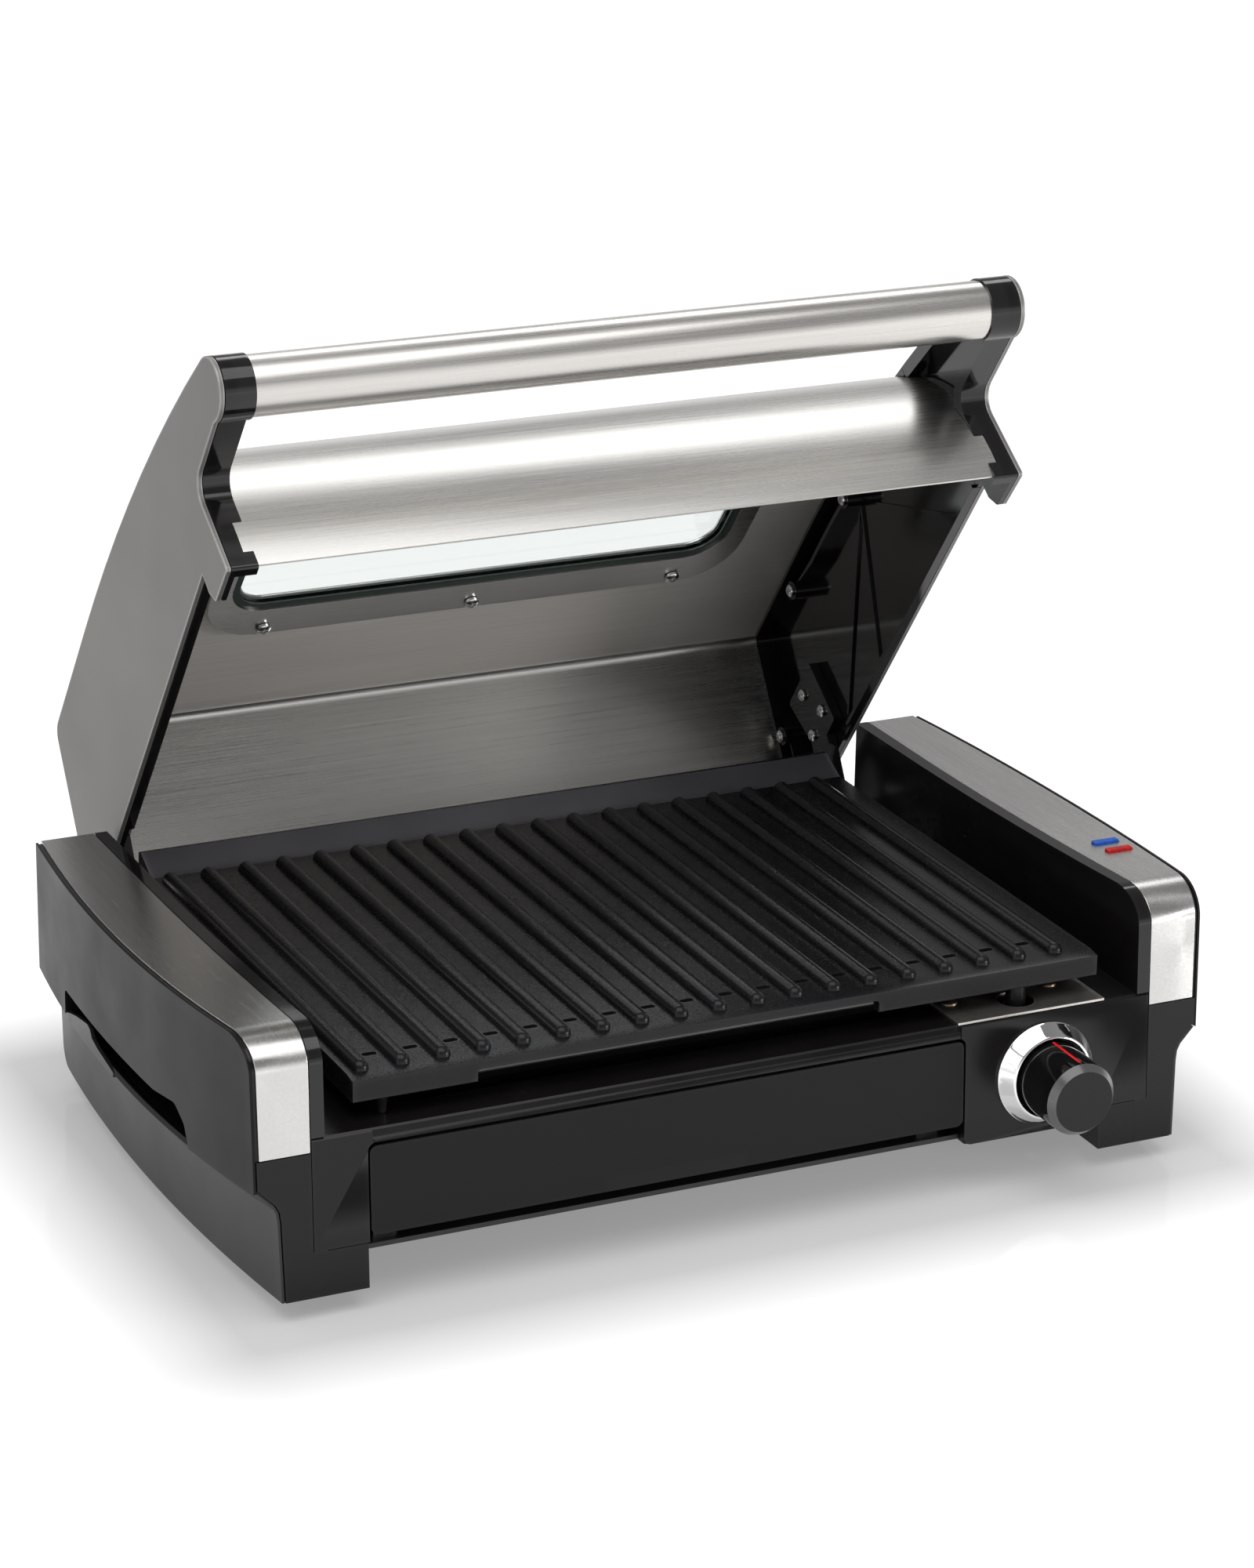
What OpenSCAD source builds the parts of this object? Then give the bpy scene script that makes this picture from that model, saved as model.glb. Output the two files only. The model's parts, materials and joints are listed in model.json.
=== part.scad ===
// Electric indoor grill with a hinged hood lid: ribbed grill plate, drip tray,
// thermostat knob and two bowed end housings. Stored with the lid open.
// X runs along the width, Y from front to back, Z up. The rubber feet stand on z = 0.

/* [Base] */
// Width over the two bowed side panels
body_w = 426; // [380:1:480]
// Depth from the front face to the rear wall
base_d = 249; // [240:1:290]
// Height of the deck that the grill plate stands on
deck_z = 72.4; // [68:0.2:80]
// Gap between the housings and the table
foot_h = 8.5; // [6:0.5:14]
// Width of each end housing
end_w = 37.4; // [34:0.2:44]
// Radius of the outward bow of the sides, seen from above
bow_r = 1000; // [800:10:1600]
// Wall of the plastic mouldings
wall = 2.5; // [2:0.1:3.2]

/* [End housings] */
// Height of the trims at their lowest point
trim_z = 108.3; // [102:0.1:118]
// Thickness of the steel trims
trim_t = 1; // [0.8:0.1:1.6]
// Height of the trim's lower front edge
trim_low_z = 67; // [60:1:74]
// Height where the side panel meets the skirt, midway along
kink_z = 49; // [46:0.5:54]
// Inward step of the skirt below that line
skirt_step = 8.5; // [6:0.5:11]
// Height of the front and rear foot blocks
block_h = 18.5; // [15:0.5:22]

/* [Control box and tray] */
// Width of the control box on the right of the front
box_w = 84; // [74:1:90]
// Height of the control box's underside
box_z = 21; // [18:0.5:26]
// Width of the left leg of the front
leg_w = 22.5; // [18:0.5:28]
// Distance of the knob's axis from the right housing's inner wall
knob_inset = 42.6; // [36:0.2:48]
// Height of the knob's axis
knob_z = 46.2; // [44:0.1:50]
// Radius of the knob
knob_r = 15.5; // [13:0.1:17]
// Distance the knob stands out of the front
knob_out = 29.5; // [22:0.5:32]
// Radius of the chrome bezel
bezel_r = 21.8; // [20:0.1:23]
// Height of the drip tray's front
tray_front_h = 36; // [32:0.5:38]
// Depth of the drip tray
tray_d = 205; // [150:1:215]

/* [Grill plate] */
// Width of the grill plate
plate_w = 322; // [290:0.2:323]
// Depth of the grill plate
plate_d = 240; // [200:0.5:241]
// Thickness of the plate under its ridges
plate_t = 6; // [5:0.5:8]
// Number of ridges
ridges = 19; // [15:1:21]
// Height of the ridges
ridge_h = 3.6; // [2.5:0.1:4]
// Width of a ridge
ridge_w = 7; // [5:0.1:8]
// Distance of the first ridge from the left edge
ridge_left = 6.5; // [5:0.1:16]
// Distance of the last ridge from the right edge
ridge_right = 15; // [5:0.1:16]
// Height of the splash wall at the rear
splash_h = 6.6; // [4:0.1:9]

/* [Lid] */
// Angle by which the stored lid is turned up from closed
lid_open = 53.4; // [0:0.1:60]
// Height of the closed lid's rim
rim_z = 91; // [88:0.5:96]
// Depth of the hood from its rear corner to the visor's face
lid_d = 264.3; // [255:0.1:275]
// Height of the hood's flat top over the rim
lid_h = 76.6; // [68:0.1:86]
// Gap between the lid's ends and the housings
lid_gap = 2.9; // [2:0.1:5]
// Thickness of the steel hood sheet
sheet_t = 1; // [0.8:0.1:1.4]
// Radius of the handle tube
tube_r = 12; // [10:0.1:12.4]
// Width of the window opening
win_w = 220; // [150:1:240]
// Depth of the window opening
win_d = 82; // [60:1:90]

/* [Hinge] */
// Distance of the hinge axis behind the front face
hinge_back = 243.5; // [238:0.1:246]
// Height of the hinge axis
hinge_z = 66.9; // [64:0.1:70]
// Radius of the hinge pins
pin_r = 4; // [3:0.1:4.5]
// Radial running clearance of pins and shafts
run = 0.05; // [0.02:0.01:0.09]

/* [Hidden] */

$fn = 48;
smooth_fn = 360;   // long-radius arcs
gap = 0.3;         // clearance between pieces that lie on each other

// Widths, measured from the middle of the grill
half_w = body_w / 2;
end_x = half_w - end_w;            // inner wall of an end housing
lid_x = end_x - lid_gap;           // outer face of the lid's ends
skin_t = 2;                        // outer skin of a lid end
bracket_w = 13.2;                  // lid's end and handle bracket together
hood_x = lid_x - bracket_w;        // inner face of the handle brackets
box_x = end_x + 5.4 - box_w;       // left side of the control box
plate_x = plate_w / 2;

// Stored with the lid open, the model is centred on its own depth
visor_back = 6.3;                  // closed visor's face behind the front face
hinge_s = visor_back + lid_d - hinge_back;
hinge_h = hinge_z - rim_z;
rear_lean = 0.3823;                // forward lean of the hood's rear face
crease_r = 8;
crease_half = (90 + atan(rear_lean)) / 2;
crease_c = [rear_lean * lid_h + crease_r / tan(crease_half), lid_h - crease_r];
crease_y = (hinge_s - crease_c[0]) * cos(lid_open) + (crease_c[1] - hinge_h) * sin(lid_open);
rest_d = knob_out + hinge_back + crease_y + crease_r;
front_y = knob_out - rest_d / 2;
hinge_y = front_y + hinge_back;

// Outline of the end housings
bow_y = 135.8;                     // middle of the bow behind the front face
trim_edge = 2.4;                   // side panel's face outside the trim's edge
trim_inner = 5.8;                  // trim's inner edge outside the inner wall
front_low = 0.4;                   // housing's front at its foot
front_top = 5.2;                   // and under the bend of the trim
crown_r = 3000;                    // hollow of the trims' top line
crown_y = 203.5;
bend_y = 23.3;
bend_drop = 13;
skirt_in = skirt_step + 1.3;       // skirt's face inside the panel's face
kink_lean = 29;                    // lean that makes the kink rise towards both ends
lap_t = 1;                         // panel's and skirt's edges lapping over the housing's rim
rim_w = trim_t + wall + 1;
foot_round = 9;                    // lower rear corner of the housings
block_z = foot_h + block_h;        // top of the foot blocks
block_in = 16.5;                   // foot blocks' reach under the base
block_d = 40;
pocket_x = end_x + 16;             // back wall of the carry grips

// Levels
plate_z = deck_z + 17.3;           // top of the plate between its ridges
plate_under = plate_z - plate_t;
apron_h = 9.7;
tray_z = box_z + 8.5;
tray_top = deck_z - 14.4;
tray_gap = 0.7;
cover_z = box_z + 1;
pan_z = deck_z - 12;
element_z = plate_under - 4.2;
band_z = tray_z + tray_front_h + 1.2;

// Places on the deck
knob_x = end_x - knob_inset;
front_posts = [[-147.5, 16.6], [126.5, 16.6]];
rear_posts = [[-140, 224], [140, 224]];
post_r = 4.1;
plate_front = 12;
plate_rear = plate_front + plate_d;
bay_x = end_x - 16.6;              // hinge arms swing outside this line
bay_y = 224;
pan_x = 146;
pan_y = [42, 214];
leg_x = end_x + 5.4;               // outer edge of the front between the housings
lamp_x = end_x + 22.3;
lamp_y = [70.5, 59.7];
lamp_w = 11.6;
lamp_d = 3.4;
foot_x = end_x + 3;
foot_y = [30, base_d - 31];
foot_r = 6.5;
element_r = 3.2;
element_path = [[148, 112], [118, 112], [118, 62], [-118, 62], [-118, 196], [118, 196], [118, 146], [148, 146]];
element_bend = 16;

// Lid, drawn closed as [forward of the rear corner, above the rim]
top_r = 830;
top_s = 100;                       // the flat top ends here and the long arc starts
visor_r = 90;
visor_c = [lid_d - visor_r, -5];
visor_low = -14.8;
front_s = lid_d + 0.5;             // front of the handle brackets
head_r = tube_r + 0.8;
tube_s = lid_d + 43;
tube_h = lid_h - top_r + sqrt(pow(top_r - head_r, 2) - pow(tube_s - top_s, 2));
arm_h = 26;
notch_s = lid_d - 23.7;
liner_x = lid_x - skin_t - gap;    // outer face of the liners and brackets
sheet_x = hood_x + 4;              // the hood sheet's edge in its groove
bracket_s = 236;
band_w = 12.5;
arm_x = [end_x - 12, liner_x - 2 - gap];
arm_boss_r = 9;
win_s = 115;                       // window opening's rear edge
glass_in = 2.8;                    // depth of the glass under the lid's outline
glass_t = 3;
glass_lap = 8;

/* ---------- shared shapes ---------- */

function arc(c, r, a, b, n) = [for (i = [0:n]) c + r * [cos(a + (b - a) * i / n), sin(a + (b - a) * i / n)]];

// Corner at p between a and b, rounded to radius r
function bend(a, p, b, r, n) =
    let (u = (a - p) / norm(a - p),
         v = (b - p) / norm(b - p),
         h = acos(u * v) / 2,
         c = p + (u + v) / norm(u + v) * r / sin(h),
         s = p + u * r / tan(h) - c,
         e = p + v * r / tan(h) - c,
         a0 = atan2(s[1], s[0]),
         turn = (atan2(e[1], e[0]) - a0 + 540) % 360 - 180)
    arc(c, r, a0, a0 + turn, n);

function polar(a) = [cos(a), sin(a)];

function flat(p) = [p[0], p[1]];

// Outline whose points are [x, y, corner radius]
function rounded(q, n = 6) =
    [for (i = [0:len(q) - 1])
        each q[i][2] == 0 ? [flat(q[i])]
            : bend(flat(q[(i + len(q) - 1) % len(q)]), flat(q[i]), flat(q[(i + 1) % len(q)]), q[i][2], n)];

function corners(x, y, r) = [[x[0], y[0], r], [x[1], y[0], r], [x[1], y[1], r], [x[0], y[1], r]];

function sharp(q) = [for (p = q) [p[0], p[1], 0]];

// Box between two corners, y measured from the front face
module block(x, y, z) {
    translate([x[0], front_y + y[0], z[0]]) cube([x[1] - x[0], y[1] - y[0], z[1] - z[0]]);
}

// Plate whose outline in plan has round corners
module slab(x, y, z, r) {
    translate([0, front_y, z[0]]) linear_extrude(z[1] - z[0]) polygon(rounded(corners(x, y, r)));
}

// Outline drawn as [behind the front face, height], thick from x0 to x1
module side_cut(x0, x1) {
    translate([x0, front_y, 0]) rotate([90, 0, 90]) linear_extrude(x1 - x0) children();
}

// Outline drawn as [across, height], thick from y0 to y1 behind the front face
module front_cut(y0, y1) {
    translate([0, front_y + y1, 0]) rotate([90, 0, 0]) linear_extrude(y1 - y0) children();
}

// Leans the front between the housings back into the plane of their fronts
module front_slope() {
    translate([0, front_y + front_low, foot_h])
        rotate([-atan((front_top - front_low) / (bend_z - foot_h)), 0, 0])
            translate([0, -front_y, -foot_h]) children();
}

module post(x, y, z0, z1, r) {
    translate([x, front_y + y, z0]) cylinder(h = z1 - z0, r = r);
}

// Cylinder on the hinge axis
module hinge_rod(x0, x1, r) {
    translate([x0, hinge_y, hinge_z]) rotate([0, 90, 0]) cylinder(h = x1 - x0, r = r, $fn = 64);
}

module left_side() {
    mirror([1, 0, 0]) children();
}

// Pan-head screw standing on z = 0, with a cross recess
module screw(r, shank) {
    difference() {
        rotate_extrude() polygon([[0, -shank], [r * 0.5, -shank], [r * 0.5, 0], [r, 0], [r, r * 0.35],
                                  [r * 0.6, r * 0.62], [0, r * 0.7]]);
        for (a = [0, 90]) rotate([0, 0, a]) translate([-r * 0.55, -r * 0.11, r * 0.35]) cube([r * 1.1, r * 0.22, r]);
    }
}

/* ---------- end housings ---------- */

function crown_z(y) = trim_z + crown_r - sqrt(pow(crown_r, 2) - pow(min(y - crown_y, 0), 2));

bend_z = crown_z(bend_y) - bend_drop;

function front_line(z) = front_low + (front_top - front_low) * (z - foot_h) / (bend_z - foot_h);

// Side view of a housing, d inside its full outline and ending at height z0
function end_profile(d, z0) = concat(
    [for (i = [0:8]) let (y = base_d - d + (bend_y - base_d + d) * i / 8) [y, crown_z(y) - d]],
    [for (i = [1:8])
        let (a = 90 * i / 8)
        [bend_y - (bend_y - front_top - d) * sin(a), bend_z + (bend_drop - d) * cos(a)]],
    [[front_line(z0) + d, z0]],
    let (r = foot_round - d) arc([base_d - d - r, z0 + r], r, -90, 0, 5));

// Plan of a housing from x0 out to the bowed line, d inside the side panel's face
module end_plan(x0, d) {
    intersection() {
        translate([half_w - bow_r, front_y + bow_y]) circle(r = bow_r - d, $fn = smooth_fn);
        translate([x0, front_y - 10]) square([half_w, base_d + 20]);
    }
}

module end_body(x0, d_plan, d_side, z0) {
    intersection() {
        linear_extrude(140) end_plan(x0, d_plan);
        side_cut(x0, half_w + 10) polygon(end_profile(d_side, z0));
    }
}

// Section [inside the panel's face, height] turned about the axis of the bow
module bowed(section) {
    translate([half_w - bow_r, front_y + bow_y, 0])
        rotate([0, 0, -9])
            rotate_extrude(angle = 18, $fn = smooth_fn)
                polygon([for (p = section) [bow_r - p[0], p[1]]]);
}

// Section [inside the panel's face, above the kink] turned about an axis square to the kink's
// plane, which rises inwards, so that the kink rises towards both ends
module kinked(section) {
    r = bow_r * cos(kink_lean);
    translate([half_w, front_y + bow_y, kink_z]) rotate([0, kink_lean, 0]) translate([-r, 0, 0])
        rotate([0, 0, -11])
            rotate_extrude(angle = 22, $fn = smooth_fn)
                polygon([for (p = section) [r - p[0] * cos(kink_lean) - p[1] * sin(kink_lean),
                                            p[1] * cos(kink_lean) - p[0] * sin(kink_lean)]]);
}

// Everything above the kink's plane
module above_kink(g) {
    translate([half_w, front_y - 10, kink_z]) rotate([0, kink_lean, 0])
        translate([-80, 0, g]) cube([120, base_d + 20, 140]);
}

// Outer line of the skirt, moved in by d
function skirt_line(d) = [
    [skirt_in + d, foot_h - kink_z - 8], [skirt_in - 0.9 + d, -13], [skirt_in - 1.4 + d, -9 + 0.3 * d],
    [skirt_in - 2.8 + 0.8 * d, -6.2 + 0.6 * d], [1 + 0.6 * d, 0.2 + 0.4 * d]];

// Everything inside the skirt by d, and above it
module inside_skirt(d) {
    kinked(concat(skirt_line(d), [[6, 6 * tan(kink_lean) + 1], [80, 80 * tan(kink_lean) + 1],
                                  [80, foot_h - kink_z - 8]]));
}

// Carry grip: opening for the fingers above the skirt's lip, grown by g
module grip_outline(g) {
    offset(delta = g)
        polygon(rounded([[202.5, kink_z - 6, 2], [202.5, kink_z + 12.3, 2.5], [92, kink_z + 13, 20],
                         [71, kink_z + 16, 6], [62, kink_z + 10.5, 5], [58, kink_z + 1, 4], [61, kink_z - 6, 3]]));
}

// Front and top rim of a housing, w wide when seen from the side
module rim_band(w) {
    side_cut(end_x, half_w + 10) difference() {
        translate([-5, 0]) square([base_d + 10, 140]);
        polygon(end_profile(w, foot_h - 8 + w));
    }
}

module lamp_slots(g) {
    for (y = lamp_y)
        block([lamp_x - lamp_w / 2 - g, lamp_x + lamp_w / 2 + g], [y - lamp_d / 2 - g, y + lamp_d / 2 + g], [90, 140]);
}

module foot_spots() {
    for (y = foot_y) translate([foot_x, front_y + y, 0]) children();
}

// Side view of a housing without its trim, flush with the trim's face below it
module end_side() {
    polygon(end_profile(trim_t, foot_h));
    polygon([[front_line(foot_h), foot_h], [12, foot_h], [12, trim_low_z - gap],
             [front_line(trim_low_z - gap), trim_low_z - gap]]);
}

module end_housing() {
    difference() {
        union() {
            intersection() {
                side_cut(end_x, half_w) end_side();
                union() {
                    // Body inside the panel and the skirt
                    intersection() {
                        linear_extrude(140) end_plan(end_x, wall + gap);
                        above_kink(0);
                    }
                    inside_skirt(wall + gap);
                    // Rim that their thin edges lap over
                    intersection() {
                        rim_band(rim_w);
                        union() {
                            intersection() {
                                linear_extrude(140) end_plan(end_x, lap_t + gap);
                                above_kink(0);
                            }
                            inside_skirt(lap_t + gap);
                        }
                    }
                }
                linear_extrude(140) end_plan(end_x, lap_t + gap);
            }
            // Bead along the inner edge of the trim
            intersection() {
                end_body(end_x, 0, 0, foot_h);
                block([end_x, end_x + trim_inner - gap], [-1, base_d + 1], [trim_low_z + 1, 140]);
            }
            side_cut(end_x - block_in, end_x + 3)
                polygon([[front_line(foot_h) + 0.05, foot_h], [block_d, foot_h], [block_d, block_z - gap],
                         [front_line(block_z - gap) + 0.05, block_z - gap]]);
            slab([end_x - block_in, end_x + 3], [base_d - block_d, base_d], [foot_h, block_z], 1.2);
        }
        // Hollow that the side panel and the skirt close, with ribs left across it
        difference() {
            end_body(end_x + wall, -5, trim_t + wall, foot_h + 2);
            for (y = [52, 108, 164, 220]) block([end_x, half_w + 10], [y, y + 2], [0, 140]);
        }
        // Room for the front between the housings
        front_slope() block([end_x - 1, leg_x + gap], [-5, wall + gap], [block_z, deck_z + gap]);
        side_cut(pocket_x - 2 - gap, half_w + 10) grip_outline(2 + gap);
        lamp_slots(0.4);
        hinge_rod(end_x - 1, end_x + wall + 1, pin_r);
        foot_spots() translate([0, 0, foot_h - 1]) cylinder(h = 2.5, r = foot_r + gap);
    }
}

module end_housing_left() {
    color("#1d1d1f") left_side() end_housing();
}

module end_housing_right() {
    color("#1d1d1f") end_housing();
}

module side_panel() {
    intersection() {
        union() {
            difference() {
                bowed([[0, 30], [0, 140], [wall, 140], [wall, 30]]);
                side_cut(end_x, half_w + 10) grip_outline(0);
                // Thin edge lapping over the housing's rim
                intersection() {
                    linear_extrude(140) end_plan(end_x, lap_t);
                    rim_band(rim_w + gap);
                }
            }
            // Pocket behind the carry grip
            difference() {
                side_cut(pocket_x - 2, half_w - 1) grip_outline(2);
                side_cut(pocket_x, half_w + 11) grip_outline(0);
                linear_extrude(140) difference() {
                    end_plan(end_x, -20);
                    end_plan(end_x - 1, 0.5);
                }
            }
        }
        union() {
            above_kink(0);
            inside_skirt(wall + gap);
        }
        side_cut(end_x, half_w + 10) polygon(end_profile(0.5, foot_h));
    }
}

module side_panel_left() {
    color("#2c2c2e") left_side() side_panel();
}

module side_panel_right() {
    color("#2c2c2e") side_panel();
}

module side_skirt() {
    intersection() {
        difference() {
            union() {
                kinked(concat(skirt_line(0), [[1 + 0.6 * wall, 0.2 + 0.4 * wall], [skirt_in - 2.8 + 0.8 * wall, -6.2 + 0.6 * wall],
                              [skirt_in - 1.4 + wall, -9 + 0.3 * wall], [skirt_in - 0.9 + wall, -13],
                              [skirt_in + wall, foot_h - kink_z - 8]]));
                // Raised part of the lip at the rear of the carry grip
                intersection() {
                    bowed([[1, kink_z - 2], [1, kink_z + 12], [2.6, kink_z + 12], [2.6, kink_z - 2]]);
                    side_cut(end_x, half_w + 10) polygon([for (q = lip_line) [q[0], kink_z + q[1]]]);
                }
            }
            intersection() {
                inside_skirt(lap_t);
                rim_band(rim_w + gap);
            }
        }
        side_cut(end_x, half_w + 10) polygon(end_profile(0.5, foot_h));
    }
}

lip_line = [[140, -1.5], [140, 0.6], [151, 2], [160, 3], [167, 4.5], [169.5, 7.5], [173, 8.3], [182, 6.7], [190, 5.1],
            [201.5, 2], [201.5, -1.5]];

module side_skirt_left() {
    color("#262628") left_side() side_skirt();
}

module side_skirt_right() {
    color("#262628") side_skirt();
}

// Stainless trim bent over the top and down the front of a housing
module end_trim() {
    intersection() {
        linear_extrude(140) end_plan(end_x + trim_inner, trim_edge);
        side_cut(end_x, half_w + 10) difference() {
            polygon(end_profile(0, trim_low_z));
            polygon(end_profile(trim_t, 0));
            translate([base_d / 2, 0]) square([base_d, trim_z - 6]);
        }
    }
}

module end_trim_left() {
    color("#c9c7c2") left_side() end_trim();
}

module end_trim_right() {
    color("#c9c7c2") difference() {
        end_trim();
        lamp_slots(0.2);
    }
}

module lamp_lens(i) {
    block([lamp_x - lamp_w / 2, lamp_x + lamp_w / 2], [lamp_y[i] - lamp_d / 2, lamp_y[i] + lamp_d / 2],
          [crown_z(lamp_y[i]) - 9, crown_z(lamp_y[i]) + 1.2]);
}

module lamp_lens_blue() {
    color("#1d6fb8") lamp_lens(0);
}

module lamp_lens_red() {
    color("#c41f2a") lamp_lens(1);
}

// Neon lamp holder on the housing's inner wall, under the two lenses
module lamp_holder() {
    color("#e6e2d8") difference() {
        block([end_x + wall + gap, lamp_x + 8], [54, 78], [94, crown_z(78) - 7.5]);
        for (y = lamp_y)
            block([lamp_x - lamp_w / 2 - gap, lamp_x + lamp_w / 2 + gap],
                  [y - lamp_d / 2 - gap, y + lamp_d / 2 + gap], [crown_z(y) - 9.3, 140]);
    }
}

module rubber_feet() {
    color("#151515") for (s = [0, 1]) mirror([s, 0, 0]) foot_spots() rotate_extrude()
        polygon(rounded([[0, 0, 0], [foot_r - 1.5, 0, 1], [foot_r, foot_h - 1, 0.5], [foot_r, foot_h + 1.2, 0],
                         [0, foot_h + 1.2, 0]]));
}

/* ---------- base between the housings ---------- */

// Front of the base: left leg, band over the tray and control box in one piece
function fascia() = rounded([
    [-leg_x, block_z, 0], [-leg_x + leg_w, block_z, 1.5], [-leg_x + leg_w, band_z, 3], [box_x, band_z, 3],
    [box_x, box_z, 3], [end_x - block_in - gap, box_z, 2], [end_x - block_in - gap, block_z, 0],
    [leg_x, block_z, 0], [leg_x, deck_z, 0], [end_x, deck_z, 0], [end_x, deck_z + 1, 0],
    [-end_x, deck_z + 1, 0], [-end_x, deck_z, 0], [-leg_x, deck_z, 0]]);

module deck_holes() {
    // Opening for the reflector pan and the slot that drains to the tray
    slab([-pan_x - 1, pan_x + 1], [pan_y[0] - 1, pan_y[1] + 1], [0, deck_z + 1], 13);
    slab([-138, box_x - 12], [22, 36], [0, deck_z + 1], 5);
    post(front_posts[1][0], front_posts[1][1], 0, deck_z + 1, 7.6);
    for (q = rivets) post(q[0], q[1], 0, deck_z + 1, 1.7);
}

module control_box() {
    lower = end_x - block_in - gap;
    difference() {
        union() {
            block([box_x, end_x], [0, 52], [block_z, deck_z]);
            slab([box_x, lower], [0.5, 52], [box_z + 0.5, block_z + 1], 2);
        }
        difference() {
            union() {
                block([box_x + wall, end_x - wall], [wall, 52 - wall], [block_z + wall, deck_z - wall]);
                block([box_x + wall, lower - wall], [wall, 52 - wall], [box_z + wall, deck_z - wall]);
            }
            front_slope() block([0, half_w], [-10, wall], [0, 140]);
        }
    }
}

module base_shell() {
    color("#242224") difference() {
        union() {
            front_slope() front_cut(0, wall) polygon(fascia());
            control_box();
            // Deck with its side walls
            block([-end_x, end_x], [0.8, bay_y], [deck_z - wall, deck_z]);
            for (s = [0, 1]) mirror([s, 0, 0]) {
                block([end_x - wall, end_x], [1, bay_y], [block_z, deck_z]);
                block([bay_x - wall, end_x], [bay_y - wall, bay_y], [block_z, deck_z]);
                block([bay_x - wall, bay_x], [bay_y - 1, base_d], [block_z, deck_z]);
            }
            block([-bay_x, bay_x], [bay_y - 1, base_d], [deck_z - wall, deck_z]);
            block([-bay_x, bay_x], [base_d - wall, base_d], [block_z, deck_z]);
            block([block_in + gap - end_x, end_x - block_in - gap], [base_d - wall, base_d], [cover_z, deck_z]);
            // Return beside the tray and stiffening ribs under the deck
            block([-leg_x + leg_w - wall, -leg_x + leg_w], [0.5, 60], [block_z, deck_z]);
            for (y = [pan_y[0] - 4, pan_y[1] + 2]) block([-end_x, end_x], [y, y + 2], [tray_top + 2, deck_z]);
            for (p = front_posts) post(p[0], p[1], deck_z - 8, deck_z, 9);
        }
        deck_holes();
        front_slope() {
            block([-half_w, half_w], [-10, 0], [-10, 140]);
            // Band over the tray stands back from the leg and the control box
            block([-leg_x + leg_w + 2, box_x - 2], [-1, 0.4], [band_z - 5, deck_z + 3]);
            front_edge_bevel();
        }
        block([-half_w, half_w], [-5, 20], [deck_z, deck_z + 5]);
        // Knob's opening, the gland's hole and slots for cooling air
        front_cut(-1, wall + 4) translate([knob_x, knob_z]) circle(r = knob_r + 1.2, $fn = 96);
        front_cut(base_d - wall - 1, base_d + 1) translate([gland_x, gland_z]) circle(r = 6.3);
        front_cut(base_d - wall - 1, base_d + 1)
            for (i = [0:11]) translate([-99 + 14 * i, 42]) square([6, 14]);
    }
}

// Small bevel along the top front edge
module front_edge_bevel() {
    side_cut(-half_w, half_w) polygon([[-1, deck_z - 2], [-1, deck_z + 2], [3, deck_z + 2]]);
}

module bottom_cover() {
    inner = end_x - block_in - gap;
    color("#1a1a1a") difference() {
        union() {
            block([-inner, inner], [6, base_d - wall - gap], [cover_z, cover_z + 2]);
            for (s = [0, 1]) mirror([s, 0, 0]) {
                block([inner - 2, inner], [block_d + 1, base_d - block_d - 1], [cover_z, block_z]);
                block([inner - 2, end_x], [block_d + 1, base_d - block_d - 1], [block_z - 2, block_z]);
            }
        }
        block([box_x - gap, end_x + 1], [0, 52 + gap], [0, block_z + 1]);
        for (x = [-120:24:72], y = [90, 150]) slab([x, x + 5], [y, y + 36], [0, block_z], 2.4);
    }
}

module base_screws() {
    color("#8c8c8c") {
        for (s = [0, 1]) mirror([s, 0, 0])
            for (y = [66, base_d - 66])
                translate([end_x - 7, front_y + y, block_z - 2 - gap]) rotate([180, 0, 0]) screw(3.4, 0.2);
        for (x = [-110, 110]) translate([x, front_y + base_d - 12, cover_z - gap]) rotate([180, 0, 0]) screw(3.4, 0.2);
    }
}

gland_x = 118;
gland_z = 38;

// Strain-relief gland at the rear, left empty
module cord_gland() {
    color("#141414") translate([gland_x, front_y + base_d, gland_z]) rotate([-90, 0, 0]) difference() {
        rotate_extrude() polygon([[3.6, -8], [6, -8], [6, 0.3], [9, 0.3], [9, 2.5], [7.5, 4], [6, 12], [3.6, 12]]);
        for (i = [0:2]) translate([-10, -10, 5 + 2.4 * i]) cube([20, 20 - 5.2, 0.9]);
    }
}

module reflector_pan() {
    t = 0.8;
    color("#b9b9b6") difference() {
        union() {
            slab([-pan_x - 5, pan_x + 5], [pan_y[0] - 5, pan_y[1] + 5], [deck_z, deck_z + t], 17);
            slab([-pan_x, pan_x], pan_y, [pan_z, deck_z + t], 12);
        }
        slab([-pan_x + t, pan_x - t], [pan_y[0] + t, pan_y[1] - t], [pan_z + t, deck_z + 2], 12 - t);
    }
}

/* ---------- heating ---------- */

function unit(v) = v / norm(v);

// Straight run of the element between two path points, shortened by the bends at its ends
module element_run(i) {
    a = element_path[i];
    b = element_path[i + 1];
    u = unit(b - a);
    start = a + u * (i == 0 ? 0 : element_bend);
    len = norm(b - a) - (i == 0 ? 0 : element_bend) - (i == len(element_path) - 2 ? 0 : element_bend);
    translate([start[0], start[1], 0])
        rotate([0, 90, atan2(u[1], u[0])]) cylinder(h = len, r = element_r);
}

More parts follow.
